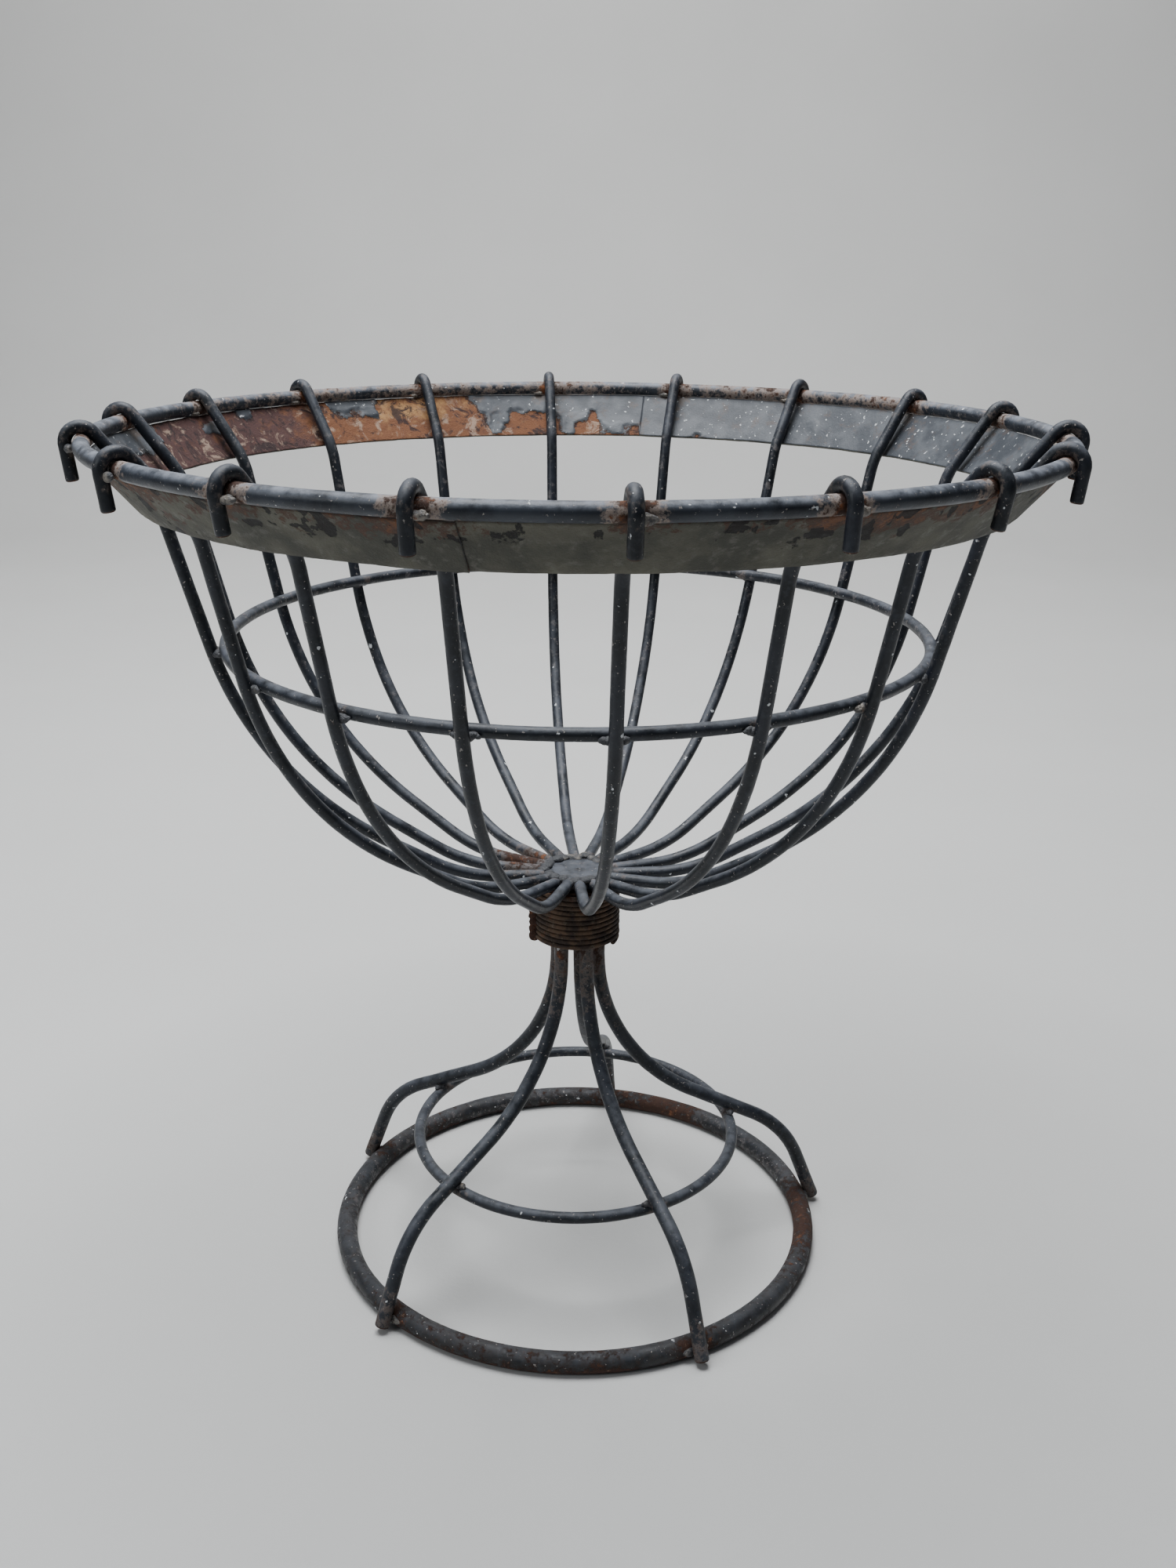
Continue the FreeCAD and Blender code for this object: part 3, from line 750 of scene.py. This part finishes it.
def make_ribs(material):
    shake = np.random.default_rng(11)
    for number in range(1, RIB_COUNT + 1):
        name = "rib_%02d" % number
        tail = HOOK_TAIL + shake.uniform(-0.0012, 0.0012)
        lean = HOOK_TAIL_LEAN + shake.uniform(-3.0, 3.0)
        path, side = rib_path(number, tail, lean)
        path = path + side * (rough(path, 0.11, 60 + number, 2) * 0.0006)[:, None]
        mesh = rod(name + "_rod", path, side, RIB_ROD, False, number)
        publish(name + "_rod", mesh, [name], [material])


def make_legs(material):
    outline = leg_outline()
    for number, azimuth in enumerate(LEG_AZIMUTHS, 1):
        name = "leg_%d" % number
        path = polar(azimuth, outline[:, 0], outline[:, 1])
        side = polar(azimuth + 90.0, 1.0, 0.0)
        across = np.broadcast_to(side, path.shape)
        mesh = rod(name + "_rod", path, across, LEG_ROD, False, 30 + number, sides=18, stain=leg_stain)
        publish(name + "_rod", mesh, [name], [material])


def leg_stain(points):
    """Rust climbing each leg from the floor, most on the left one, and again under the neck."""
    left = smooth(-points[:, 0], 0.125, 0.155)
    foot = 1.0 - smooth(points[:, 2], 0.012, 0.050)
    neck = smooth(points[:, 2], 0.105, 0.190)
    return foot * (0.34 + 0.32 * left) + 0.44 * neck


def rim_bar_stain(points):
    """Rust on the rim bar beside every hook, and brown stretches along its back."""
    behind = smooth(points[:, 1], 0.02, 0.16)
    stain = behind * (0.30 + 0.42 * rough(points, 0.055, 47, 2))
    for _, _, _, at_rim in RIBS:
        distance = np.linalg.norm(points - polar(at_rim, RIM_RADIUS, RIM_CENTRE.z), axis=-1)
        stain = np.maximum(stain, 0.68 * np.exp(-(distance / 0.014) ** 2))
    return stain


def base_ring_stain(points):
    """Brown scale low on the base ring, where it stands in the wet, and up its right side."""
    low = 1.0 - smooth(points[:, 2], 0.001, 0.008)
    right = 0.35 + 0.65 * smooth(points[:, 0], -0.02, 0.10)
    patch = smooth(rough(points, 0.060, 49, 2), -0.5, 0.4)
    return 0.24 * low + 0.54 * right * patch


def make_rings(paint, rim_paint, base_paint):
    rim = level_ring("rim_bar", RIM_CENTRE, RIM_RADIUS, RIM_BAR, 101, stain=rim_bar_stain)
    publish("rim_bar", rim, ["rim_ring"], [rim_paint])
    hoop = level_ring("bowl_hoop", HOOP_CENTRE, HOOP_RADIUS, HOOP_BAR, 111, sides=16)
    publish("bowl_hoop", hoop, ["mid_hoop"], [paint])
    lower = level_ring("foot_hoop", LOWER_CENTRE, LOWER_RADIUS, LOWER_BAR, 121, sides=16)
    publish("foot_hoop", lower, ["lower_hoop"], [paint])
    base = level_ring(
        "foot_ring", BASE_CENTRE, BASE_RADIUS, BASE_BAR, 131, sides=24, wave=0.0002, stain=base_ring_stain
    )
    publish("foot_ring", base, ["base_ring"], [base_paint])


def paint_cover(azimuth, share):
    """Above 0 the inside of the band still has its paint."""
    stops, edges = zip(*PAINT_EDGE)
    wrapped = (azimuth - BAND_SEAMS[0]) % 360.0 + BAND_SEAMS[0]
    cover = (share - np.interp(wrapped, stops, edges)) * 1.6
    for place, level, wide, tall, strength in BAND_PATCHES:
        reach = ((wrapped - place) / wide) ** 2 + ((share - level) / tall) ** 2
        cover = cover + strength * np.exp(-reach)
    return np.clip(cover, -0.9, 0.9)


def flake_cells(along, up, size, seed):
    """For each point, the middle of the paint flake that it belongs to."""
    best = np.full(along.shape, np.inf)
    middle_along = np.zeros(along.shape)
    middle_up = np.zeros(along.shape)
    column = np.floor(along / size)
    row = np.floor(up / size)
    for step_along, step_up in itertools.product((-1, 0, 1), repeat=2):
        cell = np.stack([column + step_along, row + step_up, np.full(along.shape, 0.5)], axis=-1)
        jitter_along = lattice_noise(cell * 3.7 + 0.31, seed) * 0.5 + 0.5
        jitter_up = lattice_noise(cell * 3.7 + 0.67, seed + 1) * 0.5 + 0.5
        centre_along = (cell[..., 0] + jitter_along) * size
        centre_up = (cell[..., 1] + jitter_up) * size
        distance = np.hypot(along - centre_along, up - centre_up)
        nearer = distance < best
        best = np.where(nearer, distance, best)
        middle_along = np.where(nearer, centre_along, middle_along)
        middle_up = np.where(nearer, centre_up, middle_up)
    return middle_along, middle_up


def band_profile():
    """Low and high corners of the outside face, and the direction into the bowl."""
    low = np.array([BAND_LOW_RADIUS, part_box("rim_band_right")[0].z])
    high = np.array([RIM_RADIUS - BAND_TOP_INSET, RIM_CENTRE.z - BAND_TOP_DROP])
    slope = unit(high - low)
    return low, high, np.array([-slope[1], slope[0]])


def make_band(name, node, start, end, inside, outside):
    """Half of the sheet band, from seam to seam, rusted and flaking on the inside."""
    low, high, inward = band_profile()
    tall = float(np.linalg.norm(high - low))
    gap = math.degrees(BAND_SEAM_GAP / BAND_LOW_RADIUS) / 2.0
    columns = int(math.radians(end - start) * RIM_RADIUS / 0.001)
    azimuth = np.linspace(start + gap, end - gap, columns)[:, None]
    inner_share = np.linspace(1.0, 0.0, BAND_INNER_ROWS)[None, :]
    outer_share = np.linspace(0.0, 1.0, BAND_OUTER_ROWS)[None, :]

    def place(share, depth):
        radius = low[0] + (high[0] - low[0]) * share + inward[0] * depth
        height = low[1] + (high[1] - low[1]) * share + inward[1] * depth
        return polar(azimuth, radius, height)

    along = np.broadcast_to(np.radians(azimuth) * RIM_RADIUS, (columns, BAND_INNER_ROWS))
    up = np.broadcast_to(inner_share * tall, along.shape)
    flake_along, flake_up = flake_cells(along, up, FLAKE_SIZE, 71)
    smooth_cover = paint_cover(azimuth, inner_share)
    flake_cover = paint_cover(np.degrees(flake_along / RIM_RADIUS), flake_up / tall)
    flat = place(inner_share, BAND_SHEET)
    cover = 0.55 * flake_cover + 0.45 * smooth_cover + 0.22 * rough(flat, 0.010, 73)
    lifted = smooth(cover, 0.0, 0.10) * (0.00030 + 0.00045 * (1.0 - smooth(cover, 0.10, 0.45)))
    crust = (1.0 - smooth(cover, 0.0, 0.1)) * (rough(flat, 0.0045, 75) * 0.00028 - 0.0002)
    waves = rough(place(inner_share, 0.0), 0.050, 77, 2) * 0.0003
    inner = place(inner_share, BAND_SHEET - 0.0003 + lifted + crust + waves)
    outer_flat = place(outer_share, 0.0)
    outer_rust = rim_stain(outer_flat, outer_share)
    pits = smooth(rough(outer_flat, 0.0075, 79), 0.12, 0.42)
    outer = place(outer_share, rough(outer_flat, 0.050, 77, 2) * 0.0003 + pits * 0.00015)
    sections = np.concatenate([inner, outer], axis=1)
    sections[:, :, 2] += edge_wear(sections, azimuth)
    mesh = skin(name, sections[:, ::-1], False)

    def per_point(inner_values, outer_values):
        return np.concatenate([inner_values, outer_values], axis=1)[:, ::-1]

    blank = np.zeros((columns, BAND_OUTER_ROWS))
    set_attribute(mesh, "paint", per_point(cover, blank))
    set_attribute(mesh, "ochre", per_point(ochre_bloom(azimuth, inner_share), blank))
    set_attribute(mesh, "plum", per_point(np.broadcast_to(plum_ageing(azimuth), cover.shape), blank))
    set_attribute(mesh, "rust", per_point(joint_rust(inner), outer_rust))
    set_attribute(mesh, "pits", per_point(np.zeros(cover.shape), pits * smooth(outer_rust, 0.0, 0.5)))
    across = BAND_INNER_ROWS + BAND_OUTER_ROWS
    slots = np.zeros(len(mesh.polygons), np.int32)
    grid = np.arange((columns - 1) * across) % across
    slots[:len(grid)] = (grid < BAND_OUTER_ROWS).astype(np.int32)
    publish(name, mesh, [node], [inside, outside])
    mesh.polygons.foreach_set("material_index", slots)


def rim_stain(points, share):
    """Rust bleeding down the outside from the rim bar, more in some places than others."""
    patch = rough(points, 0.050, 81) * 0.50
    high = smooth(share, 0.20, 0.95)
    return np.clip(0.02 + 0.48 * high + patch + 0.5 * joint_rust(points), 0.0, 1.0)


def ochre_bloom(azimuth, share):
    """Brighter bloom at the back left, near the upper edge."""
    reach = ((azimuth % 360.0 - 208.0) / 9.0) ** 2 + ((share - 0.75) / 0.30) ** 2
    return 0.30 * np.exp(-reach)


def plum_ageing(azimuth):
    """Older, purple-brown rust at the far left; the rest stays orange."""
    return 0.30 * smooth(azimuth % 360.0, 221.0, 232.0) - 0.06


def edge_wear(points, azimuth):
    """Nibbled edges of the sheet, and the left half hanging 1 mm lower at the front seam."""
    gnawed = rough(points, 0.012, 83, 3) * 0.00025
    to_seam = (azimuth - BAND_SEAMS[0] - 360.0) / 14.0
    return gnawed - 0.0009 * np.clip(1.0 + to_seam, 0.0, 1.0)


def make_hub(paint):
    """Hand-cut plate over the neck, with an uneven outline and a hammered top."""
    low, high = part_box("hub_disc")
    radius = (high.x - low.x) / 2.0
    flat = radius - HUB_EDGE
    middle = (low.z + high.z) / 2.0
    half = (high.z - low.z) / 2.0
    sweep = np.linspace(0.0, 360.0, 96, endpoint=False)[:, None]
    turn = np.linspace(-math.pi / 2.0, math.pi / 2.0, 14)[None, :]
    rim = polar(sweep, flat + HUB_EDGE * np.cos(turn), middle + half * np.sin(turn))
    shares = np.linspace(0.86, 0.0, 12)[None, :]
    top = polar(sweep, flat * shares, high.z)
    bottom = polar(sweep, flat * shares[:, ::-1], low.z)
    sections = np.concatenate([bottom, rim, top], axis=1)
    ragged = rough(polar(sweep, 1.0, 0.0), 0.35, 91, 3)
    distance = np.linalg.norm(sections[..., :2], axis=-1)
    shrink = 1.0 + 0.05 * ragged * smooth(distance, 0.4 * radius, radius)
    sections[..., :2] *= shrink[..., None]
    sections[..., 2] += rough(sections, 0.009, 93) * 0.0006
    mesh = skin("hub_plate", sections, True)
    set_attribute(mesh, "rust", np.full(len(mesh.vertices), 0.10))
    set_attribute(mesh, "worn", np.full(len(mesh.vertices), 0.4))
    publish("hub_plate", mesh, ["hub_disc"], [paint])


def make_hub_weld(weld):
    """Ring of weld metal over the rib ends, at the edge of the hub plate."""
    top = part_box("hub_disc")[1].z
    lumps = []
    for index in range(HUB_WELD_LUMPS):
        reach = HUB_WELD_REACH + 0.0012 * math.sin(index * 2.3)
        height = top + 0.0001 + 0.0007 * math.sin(index * 1.7)
        centre = polar(index * 360.0 / HUB_WELD_LUMPS, reach, height)
        lumps.append(lump(centre, np.array(HUB_WELD_LUMP), 400 + index, 3, 0.25))
    publish("hub_weld_run", bead_mesh("hub_weld_run", lumps, 0.20), ["hub_weld"], [weld])


def make_binding(wire):
    """Rusted wire wound round the neck by hand, so its turns are a little uneven."""
    low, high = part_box("binding_wire")
    radius = (high.x - low.x) / 2.0 - WIRE
    turns = np.linspace(0.0, WIRE_TURNS, 3600)
    climb = (high.z - low.z - 2.0 * WIRE) / WIRE_TURNS
    circle = polar(WIRE_START_AZIMUTH + turns * 360.0, 1.0, 0.0)
    height = low.z + WIRE + turns * climb
    height = height + rough(circle + turns[:, None] * 0.07, 0.8, 95, 2) * 0.00035
    squeeze = rough(np.stack([turns, turns * 0.3, turns * 0.1], axis=-1), 0.9, 97, 2) * 0.0005
    path = circle * (radius + squeeze)[:, None]
    path[:, 2] = height
    mesh = rod("neck_coil", path, circle, WIRE, False, 141, step=0.0014, sides=10, scars=2.0)
    publish("neck_coil", mesh, ["binding_wire"], [wire])


def make_neck_core(iron):
    """Rusty core that the wire is wound on."""
    low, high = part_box("neck_sleeve")
    radius = (high.x - low.x) / 2.0
    level = low.z + (high.z - low.z) * np.linspace(0.0, 1.0, 24)[:, None]
    sweep = np.linspace(0.0, 360.0, 64, endpoint=False)[None, :]
    rows = polar(sweep, radius, level)
    rows = rows + polar(sweep, 1.0, 0.0) * (rough(rows, 0.006, 99) * 0.0004 - 0.0002)[..., None]
    publish("neck_core", skin("neck_core", rows, False), ["neck_sleeve"], [iron])


def make_neck_weld(iron):
    """Weld run that locks the turns of the wire together."""
    low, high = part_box("neck_weld")
    lumps = []
    for index in range(NECK_WELD_LUMPS):
        centre = np.array((low + high) / 2.0)
        centre[2] = low.z + 0.002 + (high.z - low.z - 0.004) * index / (NECK_WELD_LUMPS - 1.0)
        centre[:2] *= 0.985
        lumps.append(lump(centre, np.array(NECK_WELD_LUMP), 500 + index, 3, 0.22))
    publish("neck_weld_run", bead_mesh("neck_weld_run", lumps, 0.9), ["neck_weld"], [iron])


def bead_run(centre, size, away, seed):
    """Short run of weld metal that tapers away from the rod, along the bar it is welded to."""
    shake = np.random.default_rng(seed)
    along = polar(azimuths_of(centre) + 90.0, 1.0, 0.0) * away
    lumps = []
    for step, share in BEAD_STEPS:
        jitter = shake.uniform(-0.12, 0.12, 3) * size
        spot = centre + along * size[0] * step + jitter + (0.0, 0.0, 0.10 * step * size[2])
        lumps.append(lump(spot, size * share * shake.uniform(0.85, 1.12, 3), seed + len(lumps), 3, 0.26))
    return lumps


def make_bead_groups(weld):
    """The welds at every joint, one group per node: rods, seed, half size, shift out and up, rust."""
    rib_azimuths = [ribs[3] for ribs in RIBS]
    hoop_azimuths = [ribs[2] for ribs in RIBS]
    groups = (
        ("rim_welds", rib_azimuths, 600, (0.0029, 0.0023, 0.0023), (0.0003, 0.0), 0.36),
        ("band_welds", rib_azimuths, 650, (0.0022, 0.0012, 0.0012), (0.0020, 0.0010), 0.42),
        ("mid_hoop_welds", hoop_azimuths, 700, (0.0030, 0.0024, 0.0024), (0.0, 0.0002), 0.16),
        ("lower_hoop_welds", LEG_AZIMUTHS, 750, (0.0028, 0.0023, 0.0022), (0.0, 0.0), 0.24),
        ("foot_welds", LEG_AZIMUTHS, 800, (0.0028, 0.0022, 0.0024), (-0.0012, -0.0006), 0.28),
    )
    for node, rod_azimuths, seed, half_size, (outwards, upwards), rust_level in groups:
        lumps = []
        for index, centre in enumerate(beads_of(node)):
            azimuth = float(azimuths_of(centre))
            turn = (azimuth - np.array(rod_azimuths) + 180.0) % 360.0 - 180.0
            away = math.copysign(1.0, turn[np.abs(turn).argmin()])
            spot = centre + polar(azimuth, outwards, upwards)
            lumps.extend(bead_run(spot, np.array(half_size), away, seed + 7 * index))
        piece = node.replace("welds", "weld_beads")
        publish(piece, bead_mesh(piece, lumps, rust_level), [node], [weld])


# ------------------------------------------------------------------- stage

def make_floor():
    """Plain pale floor that curves up into a backdrop far behind the basket."""
    finish = Finish("pale_floor")
    colour = finish.mix(finish.noise(0.30, 4.0, 0.5), *FLOOR_TONES)
    material = finish.done(colour, 0.85, finish.noise(0.004, 3.0), 0.0002, shine=0.2)
    bend = arc((2.2, 1.0), 1.0, -math.pi / 2.0, 0.0, 0.05)
    outline = np.concatenate([[(-2.5, 0.0)], bend, [(3.2, 4.0)]])
    half_width = 4.0
    points = [(x, y, z) for y, z in outline for x in (-half_width, half_width)]
    faces = [(2 * row, 2 * row + 1, 2 * row + 3, 2 * row + 2) for row in range(len(outline) - 1)]
    mesh = bpy.data.meshes.new("floor")
    mesh.from_pydata(points, [], faces)
    mesh.polygons.foreach_set("use_smooth", np.ones(len(faces), bool))
    mesh.materials.append(material)
    floor = bpy.data.objects.new("floor", mesh)
    bpy.context.scene.collection.objects.link(floor)


def make_light(name, place, target, size, power, colour=(1.0, 1.0, 1.0)):
    lamp = bpy.data.lights.new(name, "AREA")
    lamp.shape = "DISK"
    lamp.size = size
    lamp.energy = power
    lamp.color = colour
    holder = bpy.data.objects.new(name, lamp)
    holder.location = place
    holder.rotation_euler = (Vector(target) - Vector(place)).to_track_quat("-Z", "Y").to_euler()
    bpy.context.scene.collection.objects.link(holder)


def make_lighting():
    make_light("overhead", (-0.25, 0.15, 2.3), (0.0, 0.0, 0.2), 1.5, 78.0, (0.96, 0.98, 1.0))
    make_light("window", (-1.9, -1.3, 1.5), (0.0, 0.0, 0.35), 1.0, 14.0, (0.93, 0.97, 1.0))
    make_light("backdrop", (0.0, 1.2, 2.6), (0.0, 3.1, 1.2), 1.6, 60.0)
    world = bpy.data.worlds.new("studio")
    world.use_nodes = True
    world.node_tree.nodes["Background"].inputs["Color"].default_value = (0.60, 0.63, 0.68, 1.0)
    world.node_tree.nodes["Background"].inputs["Strength"].default_value = 0.17
    bpy.context.scene.world = world


def make_camera():
    """Eye a little above the rim, looking down into the bowl."""
    lens = bpy.data.cameras.new("camera")
    lens.sensor_width = SENSOR
    lens.lens = LENS
    camera = bpy.data.objects.new("camera", lens)
    place = Matrix.Translation(CAMERA_PLACE)
    heading = Matrix.Rotation(math.radians(CAMERA_TURN), 4, "Z")
    pitch = Matrix.Rotation(math.radians(90.0 - CAMERA_DOWN), 4, "X")
    roll = Matrix.Rotation(math.radians(CAMERA_ROLL), 4, "Z")
    camera.matrix_world = place @ heading @ pitch @ roll
    bpy.context.scene.collection.objects.link(camera)
    bpy.context.scene.camera = camera


# -------------------------------------------------------------------- scene

rod_paint = worn_paint(
    "painted_rod_worn", (0.005, 0.007, 0.010), (0.015, 0.018, 0.026),
    warm=0.30, dust_and_sheen=0.34, halo_strength=0.30,
)
# Rim bar: a paler copy of the rod paint with a strong pale layer on its top, painted sheen of the overhead
# light together with dust
rim_paint = worn_paint(
    "painted_rim_worn_and_sheen", (0.010, 0.013, 0.019), (0.032, 0.038, 0.050),
    warm=0.40, dust_and_sheen=0.85, halo_strength=0.75,
)
base_paint = worn_paint(
    "base_iron_worn", (0.007, 0.008, 0.010), (0.020, 0.019, 0.020),
    warm=0.10, dust_and_sheen=0.12, halo_strength=0.05, rust_bias=0.18,
)
weld_metal = weld_finish()
rusty_iron = iron_finish()

make_ribs(rod_paint)
make_legs(rod_paint)
make_rings(rod_paint, rim_paint, base_paint)
front_seam, back_seam = BAND_SEAMS
flaking = band_inside()
weathered = band_outside()
make_band("band_right", "rim_band_right", front_seam, back_seam, flaking, weathered)
make_band("band_left", "rim_band_left", back_seam, front_seam + 360.0, flaking, weathered)
make_hub(rod_paint)
make_hub_weld(weld_metal)
make_binding(wire_finish())
make_neck_core(rusty_iron)
make_neck_weld(rusty_iron)
make_bead_groups(weld_metal)
make_floor()
make_lighting()
make_camera()
